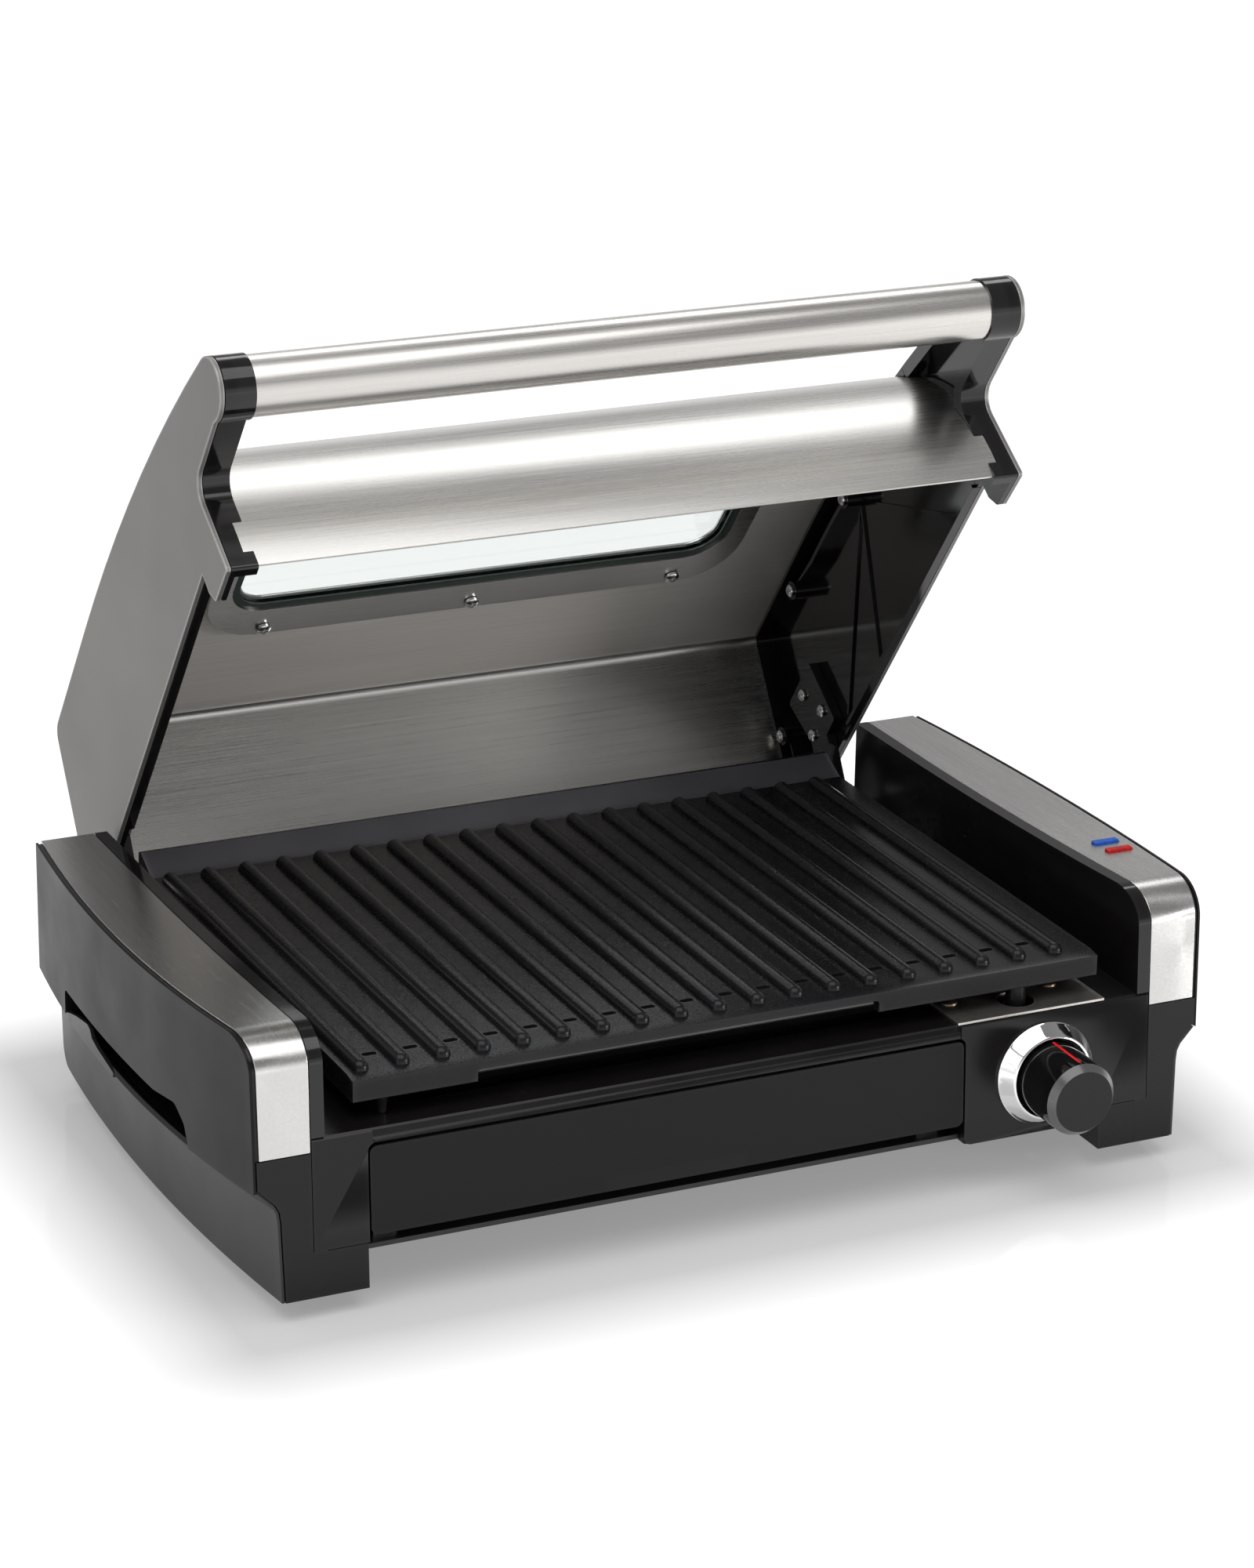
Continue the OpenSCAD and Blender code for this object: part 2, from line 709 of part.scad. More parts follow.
module element_turn(i) {
    p = element_path[i];
    u = unit(element_path[i - 1] - p);
    v = unit(element_path[i + 1] - p);
    c = p + (u + v) * element_bend;
    a0 = atan2(-v[1], -v[0]);
    a1 = atan2(-u[1], -u[0]);
    turn = (a1 - a0 + 540) % 360 - 180;
    translate([c[0], c[1], 0])
        rotate([0, 0, turn > 0 ? a0 : a1])
            rotate_extrude(angle = 90, $fn = 64) translate([element_bend, 0]) circle(r = element_r, $fn = 32);
}

module heating_element() {
    n = len(element_path);
    color("#4a4643") {
        translate([0, front_y, element_z]) {
            for (i = [0:n - 2]) element_run(i);
            for (i = [1:n - 2]) element_turn(i);
        }
        // Terminal block on the pan's flange
        block([146, 153.5], [105, 153], [deck_z + 0.8, plate_under - gap]);
    }
}

// Steel straps that carry the element on the reflector pan
module element_clips() {
    color("#a5a5a2") for (x = [-70, 70], y = [62, 196])
        difference() {
            side_cut(x - 4, x + 4) polygon([[y - 7, pan_z + 0.8], [y + 7, pan_z + 0.8], [y + 7, pan_z + 1.8],
                [y + 4.2, pan_z + 1.8], [y + 4.2, element_z + 0.5], [y - 4.2, element_z + 0.5],
                [y - 4.2, pan_z + 1.8], [y - 7, pan_z + 1.8]]);
            side_cut(x - 5, x + 5) translate([y, element_z]) circle(r = element_r + 0.1, $fn = 32);
            side_cut(x - 5, x + 5) translate([y - 3.2, pan_z + 1.8]) square([6.4, element_z - pan_z - 6.8]);
        }
}

module thermostat() {
    color("#c8c0ae") difference() {
        union() {
            block([knob_x - 15, knob_x + 15], [9, 34], [knob_z - 13, knob_z + 13]);
            block([knob_x - 21, knob_x + 21], [7.5, 9], [knob_z - 8, knob_z + 8]);
            for (s = [-18, 18]) translate([knob_x + s, front_y + wall + 2.8, knob_z]) rotate([-90, 0, 0])
                cylinder(h = 2.7, r = 3);
            for (s = [-9, 9]) block([knob_x + s - 3, knob_x + s + 3], [34, 42], [knob_z + 6, knob_z + 7]);
        }
        front_cut(0, 26) translate([knob_x, knob_z]) circle(r = shaft_r + run);
    }
}

shaft_r = 3;

module thermostat_shaft() {
    color("#b5a36a") front_cut(-knob_out + 7, 25.5) translate([knob_x, knob_z]) circle(r = shaft_r);
}

module knob_axis() {
    translate([knob_x, front_y, knob_z]) rotate([90, 0, 0]) children();
}

module knob() {
    hub = 6;
    color("#101012") knob_axis() difference() {
        rotate_extrude($fn = 96) polygon([
            [shaft_r + 0.1, 3], [hub, 3], [hub, knob_out - 8], [knob_r - 2, knob_out - 8], [knob_r - 1.8, 1],
            [knob_r, 1], [knob_r - 0.3, knob_out - 3], [knob_r - 2.7, knob_out], [0, knob_out],
            [0, knob_out - 6.5], [shaft_r + 0.1, knob_out - 6.5]]);
        // Pointer groove along the barrel
        rotate([0, 0, 90]) translate([knob_r - 0.6, -0.6, 4]) cube([2, 1.2, knob_out - 9]);
    }
}

module knob_bezel() {
    color("#d8d8dc") front_slope() knob_axis() rotate_extrude($fn = 96) polygon([
        [knob_r + 0.9, 0], [bezel_r, 0], [bezel_r, 1.2], [bezel_r - 0.6, 1.8], [knob_r + 2.2, 7],
        [knob_r + 1.4, 7.4], [knob_r + 0.9, 7]]);
}

/* ---------- front plate, tray and grill plate ---------- */

module locating_plate() {
    p = front_posts[1];
    color("#a9a39a") difference() {
        block([p[0] - 33, p[0] + 33.8], [3.9, 31], [deck_z, deck_z + 1]);
        post(p[0], p[1], deck_z - 1, deck_z + 2, 7.6);
        for (q = rivets) post(q[0], q[1], deck_z - 1, deck_z + 2, 1.7);
    }
}

rivets = [[100, 23.6], [146.6, 25.5]];

module plate_rivets() {
    color("#9a8a70") for (q = rivets) translate([q[0], front_y + q[1], deck_z + 1])
        rotate_extrude() polygon([[0, -3.6], [1.6, -3.6], [1.6, 0], [3.4, 0], [3, 0.8], [1.6, 1.5], [0, 1.7]]);
}

// Angle rail on the bottom cover, with a ledge for the tray and a web beside it
module tray_runner(x) {
    foot = cover_z + 2;
    front_cut(12, 212) translate([x, 0]) polygon([
        [-1.5, foot], [-1.5, 46], [-0.3, 46], [-0.3, tray_z + 0.5], [6, tray_z + 0.5],
        [6, tray_z - 0.7], [-0.3, tray_z - 0.7], [-0.3, foot + 1.2], [8, foot + 1.2], [8, foot]]);
}

module tray_runners() {
    color("#8f8f8c") {
        tray_runner(tray_x[0]);
        translate([tray_x[1], 0, 0]) left_side() tray_runner(0);
    }
}

tray_x = [-leg_x + leg_w + 7, box_x - 8];

module drip_tray() {
    t = 1.8;
    low = tray_z + 0.8;
    face_x = [-leg_x + leg_w + tray_gap, box_x - tray_gap];
    color("#1b1b1d") difference() {
        union() {
            slab(tray_x, [4, tray_d], [low, tray_top], 6);
            // Front of the drawer with round corners, and the rim's roll
            front_slope() front_cut(0, 3.5) polygon(rounded(corners(face_x, [tray_z, tray_z + tray_front_h], 3)));
        }
        slab([tray_x[0] + t, tray_x[1] - t], [7.4, tray_d - t], [low + t, tray_top + 20], 6 - t);
        // Finger edge under the front
        front_slope() front_cut(1.6, 3) polygon(corners_flat([-60, 0], [tray_z - 1, tray_z + 6]));
        front_slope() block(face_x, [-5, 0], [0, 140]);
    }
}

function corners_flat(x, y) = [for (p = corners(x, y, 0)) flat(p)];

module ridge_at(x, y0, y1) {
    // Bar with a round back and round ends
    r = ridge_w / 2;
    translate([x, front_y, plate_z - r + ridge_h]) {
        translate([0, y0 + r, 0]) rotate([-90, 0, 0]) cylinder(h = y1 - y0 - ridge_w, r = r, $fn = 24);
        for (y = [y0 + r, y1 - r]) translate([0, y, 0]) sphere(r = r, $fn = 24);
    }
}

module grill_plate() {
    first = ridge_left - plate_x;
    pitch = (plate_w - ridge_left - ridge_right) / (ridges - 1);
    edge = 5;
    rise = apron_h - 4.4;
    color("#1f1e20") difference() {
        union() {
            // Body whose splash wall rises at the rear, drawn from the side
            side_cut(-plate_x, plate_x) polygon(rounded([
                [plate_front, plate_z - 1, 0], [plate_front + 6, plate_z, 0], [plate_rear - 16, plate_z, 8],
                [plate_rear - 3, plate_z + splash_h, 1.2], [plate_rear, plate_z + splash_h, 1.2],
                [plate_rear, plate_z - apron_h, 1], [plate_front, plate_z - apron_h, 0.6]]));
            for (i = [0:ridges - 1])
                ridge_at(first + pitch * i, plate_front + 6, plate_rear - 18);
            for (p = rear_posts) post(p[0], p[1], deck_z + gap, plate_z - 2, post_r);
            post(front_posts[1][0], front_posts[1][1], deck_z - 5, plate_z - 2, post_r);
            translate([front_posts[0][0], front_y + front_posts[0][1], deck_z + gap])
                cylinder(h = plate_z - 2 - deck_z - gap, r1 = 1.6, r2 = 3.6);
        }
        // Underside hollowed inside the apron
        difference() {
            block([-plate_x + edge, plate_x - edge], [plate_front + edge, plate_rear - edge],
                  [plate_z - apron_h - 1, plate_under]);
            for (p = concat(front_posts, rear_posts)) post(p[0], p[1], 0, plate_z, post_r + 2);
        }
        // The apron is cut away between its two ends at the front
        front_cut(plate_front - 1, plate_front + edge + 1) polygon(rounded([
            [-110, plate_z - apron_h - 5, 0], [-110, plate_z - apron_h + rise, 1.5],
            [62, plate_z - apron_h + rise, 1.5], [62, plate_z - apron_h - 5, 0]]));
        // Drain slots in the channels between the ridges
        for (i = [0:ridges - 2])
            slab([first + pitch * (i + 0.5) - 3, first + pitch * (i + 0.5) + 3],
                 [plate_front + 19, plate_front + 22], [plate_z - 10, plate_z + 1], 1.4);
    }
}

/* ---------- lid ---------- */

function rear_s(h, d) = rear_lean * h + d * sqrt(1 + pow(rear_lean, 2));

function top_point(s, d) = [s, lid_h - top_r + sqrt(pow(top_r - d, 2) - pow(s - top_s, 2))];

// Rear face, crease and long top arc up to s, d inside the lid's outline
function lid_back(s, d) = concat(
    [[rear_s(0, d), 0, 0], [rear_s(lid_h - d, d), lid_h - d, crease_r - d]],
    [for (i = [0:9]) let (p = top_point(top_s + (s - top_s) * i / 9, d)) [p[0], p[1], 0]]);

// Where the long top arc meets the visor's arc, d inside both
function visor_meet(d) =
    let (c0 = [top_s, lid_h - top_r],
         v = visor_c - c0,
         q = norm(v),
         a = (pow(top_r - d, 2) - pow(visor_r - d + 1, 2) + q * q) / (2 * q),
         u = v / q)
    c0 + a * u + sqrt(pow(top_r - d, 2) - a * a) * [u[1], -u[0]];

// Closed outline of the hood, d inside the outline of the lid's ends, run on below its edges
function hood_line(d) =
    let (m = visor_meet(d),
         r = visor_r - d + 1,
         a0 = atan2(m[1] - visor_c[1], m[0] - visor_c[0]),
         a1 = asin((visor_low - visor_c[1]) / r))
    rounded(concat(
        [[rear_s(0, d), -40, 0]],
        lid_back(m[0] - 14, d),
        [[m[0], m[1], 9]],
        sharp(arc(visor_c, r, a0 - 9, a1, 12)),
        [[visor_c[0] + r * cos(a1), -40, 0]]));

// Band of the hood's profile between two depths
module hood_band(d0, d1) {
    difference() {
        polygon(hood_line(d0));
        polygon(hood_line(d1));
        translate([-100, -100]) square([250, 100]);
        translate([149, -100]) square([300, 100 + visor_low]);
    }
}

head_turn = atan2(tube_h - lid_h + top_r, tube_s - top_s);
head_low = asin((arm_h - tube_h) / head_r);

module lid_end_outline() {
    polygon(rounded(concat(
        lid_back(tube_s + head_r * cos(head_turn), 0),
        sharp([for (i = [1:18]) [tube_s, tube_h] + head_r * polar(head_turn - (head_turn + 180 + head_low) * i / 18)]),
        [[front_s - 2, arm_h, 9], [front_s, -16.2, 1.5], [notch_s + 3.4, -15.6, 1],
         [notch_s, -9, 0], [notch_s, 0, 0]])));
}

// Moves what is drawn in the closed lid's frame to the open lid
module lid_frame() {
    translate([0, hinge_y, hinge_z]) rotate([-lid_open, 0, 0]) translate([0, hinge_s, -hinge_h]) children();
}

// Lid outline thick from x0 to x1
module lid_cut(x0, x1) {
    lid_frame() translate([x0, 0, 0]) rotate([90, 0, 90]) linear_extrude(x1 - x0) mirror([1, 0]) children();
}

// Rod along X at a point of the lid
module lid_rod(s, h, x0, x1, r) {
    lid_cut(x0, x1) translate([s, h]) circle(r = r);
}

// Prism through the hood over the window opening grown by g, with its front and rear edges moved on
module window_prism(g, rear = 0, front = 0) {
    lid_frame() translate([0, -win_s - win_d / 2, 20]) linear_extrude(100)
        polygon(rounded(corners([-win_w / 2 - g, win_w / 2 + g], [-win_d / 2 - g - front, win_d / 2 + g + rear],
                                max(12 + g, 3))));
}

module hood_sheet() {
    color("#c4c0ba") difference() {
        lid_cut(-sheet_x, sheet_x) hood_band(1, 1 + sheet_t);
        window_prism(0);
    }
}

module window_ring(d0, d1, g0, g1) {
    difference() {
        intersection() {
            lid_cut(-win_w, win_w) hood_band(d0, d1);
            window_prism(g1);
        }
        window_prism(g0);
    }
}

module window_glass() {
    color([0.75, 0.85, 0.85, 0.35]) intersection() {
        lid_cut(-win_w, win_w) hood_band(glass_in, glass_in + glass_t);
        window_prism(glass_lap);
    }
}

module window_gasket() {
    color("#14201a") {
        window_ring(1 + sheet_t, glass_in, 0.5, glass_lap + 3);
        window_ring(glass_in, glass_in + glass_t, glass_lap, glass_lap + 3);
        window_ring(glass_in + glass_t, glass_in + glass_t + 0.8, 1.5, glass_lap + 3);
    }
}

// Steel frame that clamps the glass from inside, wider along its rear edge
module window_frame() {
    low = glass_in + glass_t + 0.8;
    color("#b5b1aa") difference() {
        intersection() {
            lid_cut(-win_w, win_w) hood_band(1 + sheet_t, low + 1);
            window_prism(14, 8, 0);
        }
        window_prism(5);
        difference() {
            lid_cut(-win_w, win_w) hood_band(0, low);
            difference() {
                window_prism(20, 20, 10);
                window_prism(glass_lap + 3);
            }
        }
    }
}

frame_screws = [[-95.5, 97.5], [0, 97.5], [95.5, 97.5], [-95.5, 205], [0, 205], [95.5, 205]];

module window_screws() {
    color("#c8c8c8") for (q = frame_screws) {
        p = top_point(q[1], glass_in + glass_t + 1.8);
        lid_frame() translate([q[0], -p[0], p[1] - 0.4]) rotate([180, 0, 0]) screw(3.2, 0.1);
    }
}

// Grey outer skin of a lid end, one flat plate from rear corner to handle
module lid_end() {
    lid_cut(lid_x - skin_t, lid_x) lid_end_outline();
}

module lid_end_left() {
    color("#6d6a66") left_side() lid_end();
}

module lid_end_right() {
    color("#6d6a66") lid_end();
}

module band_outline(d0, d1) {
    difference() {
        polygon(liner_line(d0));
        polygon(liner_line(d1));
    }
}

function liner_line(d) = rounded(concat(
    lid_back(bracket_s - 12, d),
    [[bracket_s - gap, top_point(bracket_s, d)[1], 0], [bracket_s - gap, 0, 0]]));

liner_bosses = [[18, 28], [78, 66], [150, 62]];

// Black inner frame: back plate, channel that holds the hood's edge, ribs and bosses
module lid_liner() {
    difference() {
        union() {
            lid_cut(liner_x - 2, liner_x) polygon(liner_line(0));
            lid_cut(hood_x, liner_x - 1) band_outline(0, 3.6);
            lid_cut(hood_x + 2.5, liner_x - 1) band_outline(band_w - 2, band_w);
            for (q = liner_bosses) lid_rod(q[0], q[1], hood_x + 0.5, liner_x - 1, 4.2);
            // Rim along the lower edge
            lid_cut(liner_x - 4, liner_x - 1) translate([64, 0]) square([bracket_s - gap - 64, 1.8]);
            // Faint ribs on the back plate
            for (q = [[64, 2, 150, 60], [150, 60, 214, 2], [150, 60, 110, 2]])
                lid_cut(liner_x - 3, liner_x - 1) rib_line(q);
        }
        lid_cut(hood_x - 1, sheet_x + gap) hood_band(0.8, 1 + sheet_t + 0.2);
        // Space inside the band's front end and rear end
        for (q = liner_bosses) lid_rod(q[0], q[1], hood_x, liner_x - 3, 1.6);
    }
}

module rib_line(q) {
    a = atan2(q[3] - q[1], q[2] - q[0]);
    translate([q[0], q[1]]) rotate(a) translate([0, -0.6]) square([norm([q[2] - q[0], q[3] - q[1]]), 1.2]);
}

module lid_liner_left() {
    color("#161617") left_side() lid_liner();
}

module lid_liner_right() {
    color("#161617") lid_liner();
}

// Handle bracket: band down the front edge and a head that grips the tube
module handle_bracket() {
    difference() {
        union() {
            difference() {
                lid_cut(hood_x, liner_x) intersection() {
                    lid_end_outline();
                    translate([bracket_s, -50]) square([200, 200]);
                }
                lid_cut(hood_x - 1, liner_x - 4) intersection() {
                    offset(delta = -6) lid_end_outline();
                    translate([bracket_s - 20, -50]) square([tube_s - bracket_s, 200]);
                }
            }
            lid_rod(tube_s, tube_h, hood_x - 1.6, liner_x, head_r);
        }
        // Open foot behind its front wall
        lid_cut(hood_x - 1, liner_x - 2) translate([bracket_s - 1, -50]) square([front_s - bracket_s - 4.3, 60]);
        lid_rod(tube_s, tube_h, hood_x - 6, hood_x + 5.3, tube_r + 0.1);
        lid_cut(hood_x - 1, sheet_x + gap) hood_band(0.8, 1 + sheet_t + 0.2);
    }
}

module handle_bracket_left() {
    color("#121214") left_side() handle_bracket();
}

module handle_bracket_right() {
    color("#121214") handle_bracket();
}

module handle_tube() {
    color("#cfccc6") difference() {
        lid_rod(tube_s, tube_h, -hood_x - 5, hood_x + 5, tube_r);
        lid_rod(tube_s, tube_h, -hood_x - 6, hood_x + 6, tube_r - 1.2);
    }
}

// Hinge block inside the lid, with the arm and eye that turn on the pin
module hinge_block() {
    difference() {
        union() {
            lid_cut(arm_x[0], arm_x[1])
                polygon(rounded([[29.5, 37.5, 1.5], [60, 38.5, 1.5], [61, 6.5, 1.5], [35.5, 5.5, 1]]));
            lid_cut(arm_x[0], arm_x[1])
                polygon([[34, 12], [52, 12], [hinge_s + arm_boss_r, hinge_h], [hinge_s - arm_boss_r, hinge_h]]);
            lid_rod(hinge_s, hinge_h, arm_x[0], arm_x[1], arm_boss_r);
        }
        lid_rod(hinge_s, hinge_h, arm_x[0] - 1, arm_x[1] + 1, pin_r + run);
    }
}

module hinge_block_left() {
    color("#19191a") left_side() hinge_block();
}

module hinge_block_right() {
    color("#19191a") hinge_block();
}

// Shouldered pin held in the housing's wall, with a cap inside the hinge eye
module hinge_pin() {
    hinge_rod(arm_x[0] - 2, end_x + wall + 1, pin_r);
    hinge_rod(arm_x[0] - 2, arm_x[0] - gap, pin_r + 1.5);
    hinge_rod(arm_x[1] + gap, end_x, pin_r + 2.5);
}

module hinge_pin_left() {
    color("#9c9c9c") left_side() hinge_pin();
}

module hinge_pin_right() {
    color("#9c9c9c") hinge_pin();
}

block_screws = [[44.5, 31.5], [54.3, 15.8], [38.5, 13.5]];

module lid_screws() {
    color("#c8c8c8") for (s = [0, 1]) mirror([s, 0, 0]) {
        for (q = block_screws) lid_frame() translate([arm_x[0] - 0.2, -q[0], q[1]]) rotate([0, -90, 0]) screw(2.8, 0.1);
        for (q = liner_bosses) lid_frame() translate([hood_x + 0.3, -q[0], q[1]]) rotate([0, -90, 0]) screw(2.8, 4);
    }
}

base_shell();
bottom_cover();
end_housing_left();
end_housing_right();
side_panel_left();
side_panel_right();
side_skirt_left();
side_skirt_right();
end_trim_left();
end_trim_right();
rubber_feet();
reflector_pan();
heating_element();
element_clips();
thermostat();
thermostat_shaft();
knob_bezel();
knob();
lamp_lens_blue();
lamp_lens_red();
lamp_holder();
locating_plate();
plate_rivets();
tray_runners();
drip_tray();
grill_plate();
hinge_pin_left();
hinge_pin_right();
cord_gland();
base_screws();
hood_sheet();
lid_end_left();
lid_end_right();
lid_liner_left();
lid_liner_right();
handle_bracket_left();
handle_bracket_right();
handle_tube();
hinge_block_left();
hinge_block_right();
window_glass();
window_gasket();
window_frame();
window_screws();
lid_screws();
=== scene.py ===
"""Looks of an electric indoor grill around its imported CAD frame."""

import json
import math

import bmesh
import bpy
from mathutils import Matrix, Vector

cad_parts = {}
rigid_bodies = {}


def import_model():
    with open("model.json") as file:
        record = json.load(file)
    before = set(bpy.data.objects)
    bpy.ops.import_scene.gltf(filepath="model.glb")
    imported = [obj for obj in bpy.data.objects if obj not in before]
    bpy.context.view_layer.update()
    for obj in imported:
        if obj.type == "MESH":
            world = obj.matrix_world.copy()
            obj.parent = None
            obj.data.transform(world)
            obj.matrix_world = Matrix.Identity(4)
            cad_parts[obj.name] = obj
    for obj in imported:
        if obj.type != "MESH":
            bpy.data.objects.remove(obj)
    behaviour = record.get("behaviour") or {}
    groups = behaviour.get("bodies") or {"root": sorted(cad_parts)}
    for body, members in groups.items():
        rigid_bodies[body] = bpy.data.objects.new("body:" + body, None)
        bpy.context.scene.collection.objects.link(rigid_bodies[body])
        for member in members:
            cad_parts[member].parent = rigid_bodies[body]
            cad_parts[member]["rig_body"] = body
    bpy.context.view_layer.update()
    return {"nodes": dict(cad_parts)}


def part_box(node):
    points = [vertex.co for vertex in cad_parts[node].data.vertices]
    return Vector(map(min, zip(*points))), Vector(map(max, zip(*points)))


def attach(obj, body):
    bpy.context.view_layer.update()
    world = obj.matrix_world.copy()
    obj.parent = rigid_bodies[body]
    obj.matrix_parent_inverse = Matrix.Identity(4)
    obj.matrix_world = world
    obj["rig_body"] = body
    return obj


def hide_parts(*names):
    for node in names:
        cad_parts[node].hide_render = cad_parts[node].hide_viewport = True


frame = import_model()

# Lengths are in metres, or in millimetres times MM
MM = 0.001
NODES = frame["nodes"]


# ---------------------------------------------------------------- places on the CAD model

# The knob's cap stands this far before the front plane, from which the CAD measures
KNOB_OUT = 29.5 * MM
FRONT_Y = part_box("knob")[0][1] + KNOB_OUT
KNOB_X, KNOB_Z = 133.0 * MM, 46.2 * MM

# The red pointer lies in a groove along the top of the knob's barrel
POINTER_HALF = 0.7 * MM
POINTER_R = 13.8 * MM
POINTER_OUT = (3.5 * MM, 25.2 * MM)

# The cap is the knob's flat face, and the ring is the round edge about it, painted a lighter grey
# as a highlight
CAP_OUT = 29.2 * MM
RING_OUT = 26.8 * MM
RING_R = 12.0 * MM

# Inner wall of an end housing, and the glossy bead along the trim, outwards from that wall
END_X = 175.6 * MM
BEAD = (0.1 * MM, 5.7 * MM)
BEAD_Z = 73.5 * MM

# The splash wall at the rear of the grill plate, whose forward faces get a lighter copy of the
# coating as a painted sheen
PLATE_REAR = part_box("grill_plate")[1][1]
SPLASH_DEPTH = 16.5 * MM
SPLASH_Z = 88.6 * MM

# Places in plan on the locating plate, [x, behind the front plane, reach of the heat tint]
LOCATING_PLATE_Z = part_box("locating_plate")[0][2] + 1.0 * MM
HEAT_SPOTS = (
    (100.0 * MM, 23.6 * MM, 8.5 * MM),      # left rivet
    (146.6 * MM, 25.5 * MM, 7.5 * MM),      # right rivet
    (126.5 * MM, 16.6 * MM, 12.5 * MM),     # hole for the grill plate's foot
)


# ---------------------------------------------------------------- camera

CAM_AZIMUTH = math.radians(-25.399)
CAM_ELEVATION = math.radians(20.170)
CAM_ROLL = math.radians(0.969)
CAM_TARGET = Vector((0.01374, -0.00042, 0.13755))
CAM_DISTANCE = 1.8767
CAM_LENS = 105.08
CAM_SENSOR = 36


def make_camera():
    """The photograph's viewpoint, solved from its straight and parallel edges."""
    back = Vector((math.sin(CAM_AZIMUTH) * math.cos(CAM_ELEVATION),
                   -math.cos(CAM_AZIMUTH) * math.cos(CAM_ELEVATION),
                   math.sin(CAM_ELEVATION)))
    right = Vector((math.cos(CAM_AZIMUTH), math.sin(CAM_AZIMUTH), 0))
    up = back.cross(right)
    rolled_right = right * math.cos(CAM_ROLL) + up * math.sin(CAM_ROLL)
    rolled_up = up * math.cos(CAM_ROLL) - right * math.sin(CAM_ROLL)
    data = bpy.data.cameras.new("camera")
    data.sensor_fit = "VERTICAL"
    data.sensor_height = CAM_SENSOR
    data.lens = CAM_LENS
    data.clip_start = 0.05
    data.clip_end = 50
    cam = bpy.data.objects.new("camera", data)
    bpy.context.scene.collection.objects.link(cam)
    place = Matrix((rolled_right, rolled_up, back)).transposed().to_4x4()
    place.translation = CAM_TARGET + back * CAM_DISTANCE
    cam.matrix_world = place
    bpy.context.scene.camera = cam


# ---------------------------------------------------------------- node helpers

def scaled(color, k, add=0.0):
    """A colour times k, plus the same amount in each channel."""
    return tuple(c * k + add for c in color)


class Shader:
    """A node material with a few short helpers."""

    SOCKETS = {
        "color": "Base Color", "rough": "Roughness", "metal": "Metallic",
        "spec": "Specular IOR Level", "aniso": "Anisotropic", "ior": "IOR",
        "transmission": "Transmission Weight", "emission": "Emission Color",
        "emission_strength": "Emission Strength",
    }

    def __init__(self, name):
        self.mat = bpy.data.materials.new(name)
        self.mat.use_nodes = True
        self.tree = self.mat.node_tree
        self.bsdf = self.tree.nodes["Principled BSDF"]
        self.coord = None

    def node(self, kind, **inputs):
        n = self.tree.nodes.new(kind)
        for k, v in inputs.items():
            n.inputs[k].default_value = v
        return n

    def link(self, a, b):
        self.tree.links.new(a, b)

    def feed(self, socket, value):
        """Sets a socket to a number or a colour, or links an output to it."""
        if isinstance(value, (int, float)):
            socket.default_value = value
        elif isinstance(value, tuple):
            socket.default_value = (*value, 1)
        else:
            self.link(value, socket)

    def position(self, scale=(1, 1, 1)):
        """Object coordinates times a scale."""
        if self.coord is None:
            self.coord = self.node("ShaderNodeTexCoord")
        m = self.node("ShaderNodeMapping", Scale=scale)
        self.link(self.coord.outputs["Object"], m.inputs["Vector"])
        return m.outputs["Vector"]

    def noise(self, scale, stretch=(1, 1, 1), detail=3.0, rough=0.6):
        n = self.node("ShaderNodeTexNoise", Scale=scale, Detail=detail, Roughness=rough)
        self.link(self.position(stretch), n.inputs["Vector"])
        return n.outputs["Fac"]

    def ramp(self, value, stops):
        n = self.node("ShaderNodeValToRGB")
        set_stops(n, stops)
        self.link(value, n.inputs["Fac"])
        return n.outputs["Color"]

    def math(self, op, a, b=0.0):
        n = self.node("ShaderNodeMath")
        n.operation = op
        self.feed(n.inputs[0], a)
        self.feed(n.inputs[1], b)
        return n.outputs[0]

    def mix(self, fac, a, b):
        n = self.node("ShaderNodeMix")
        n.data_type = "RGBA"
        self.feed(n.inputs["Factor"], fac)
        self.feed(n.inputs[6], a)
        self.feed(n.inputs[7], b)
        return n.outputs[2]

    def range(self, value, lo, hi, out_lo, out_hi):
        n = self.node("ShaderNodeMapRange", **{"From Min": lo, "From Max": hi,
                                               "To Min": out_lo, "To Max": out_hi})
        self.link(value, n.inputs["Value"])
        return n.outputs["Result"]

    def bump(self, height, distance, strength):
        n = self.node("ShaderNodeBump", Strength=strength, Distance=distance)
        self.link(height, n.inputs["Height"])
        self.link(n.outputs["Normal"], self.bsdf.inputs["Normal"])

    def set(self, **values):
        for k, v in values.items():
            self.feed(self.bsdf.inputs[self.SOCKETS[k]], v)

    def edge_mask(self, inner, outer, distance):
        """0 on open faces and 1 on edges, from ambient occlusion turned outwards."""
        n = self.node("ShaderNodeAmbientOcclusion", Distance=distance)
        n.inside = True
        n.samples = 6
        return self.ramp(n.outputs["AO"], [(inner, 1.0), (outer, 0.0)])


def set_stops(node, stops):
    """Fills a colour ramp from pairs of a position and a colour or grey."""
    e = node.color_ramp.elements
    while len(e) < len(stops):
        e.new(0.5)
    for i, (p, c) in enumerate(stops):
        e[i].position = p
        e[i].color = (c, c, c, 1) if isinstance(c, (int, float)) else (*c, 1)


# ---------------------------------------------------------------- kinds of surface

# Noise scales along and across the lines of brushed steel, and their share in its broad bands
ALONG, ACROSS = 1.4, 520
BROAD_ALONG, BROAD_ACROSS = 0.6, 0.16


